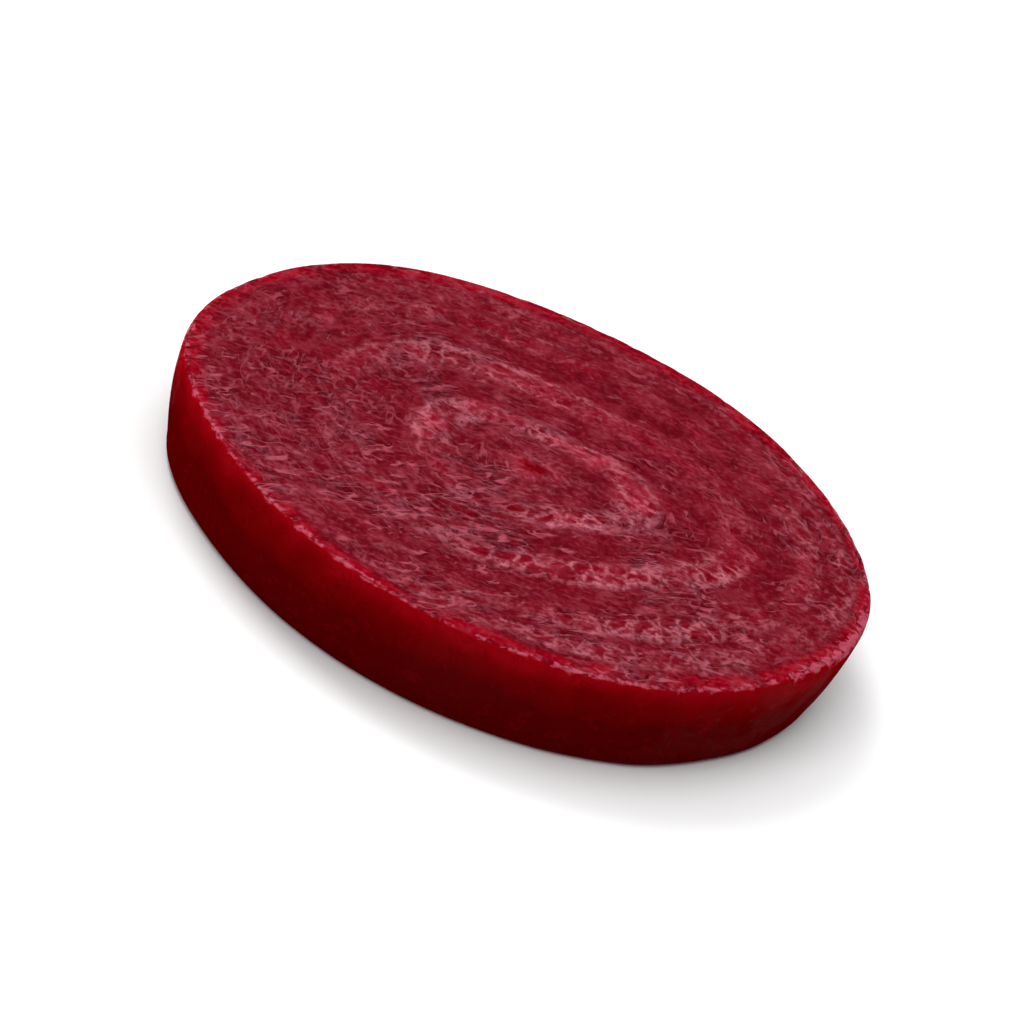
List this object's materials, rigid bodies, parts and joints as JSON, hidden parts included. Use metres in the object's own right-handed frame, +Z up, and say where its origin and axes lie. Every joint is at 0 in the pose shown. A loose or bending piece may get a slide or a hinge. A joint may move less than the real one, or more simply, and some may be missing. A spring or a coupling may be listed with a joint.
{
  "type": "beetroot slice",
  "caption": "Round slice of cooked, peeled beetroot with growth rings on its cut faces, for a plate, a salad or a food display.",
  "frame": {"origin": "on the surface that the slice lies on, under the middle of its bounding box", "axes": "+Z up, square to the cut faces, from the smaller cut face below to the larger one above; +X along the slice's longest side"},
  "size_m": [0.0616, 0.06, 0.0093],
  "materials": {
    "beetroot_flesh": "moist satin, deep crimson"
  },
  "bodies": {
    "root": {"beetroot_slice": "beetroot_flesh"}
  },
  "joints": []
}
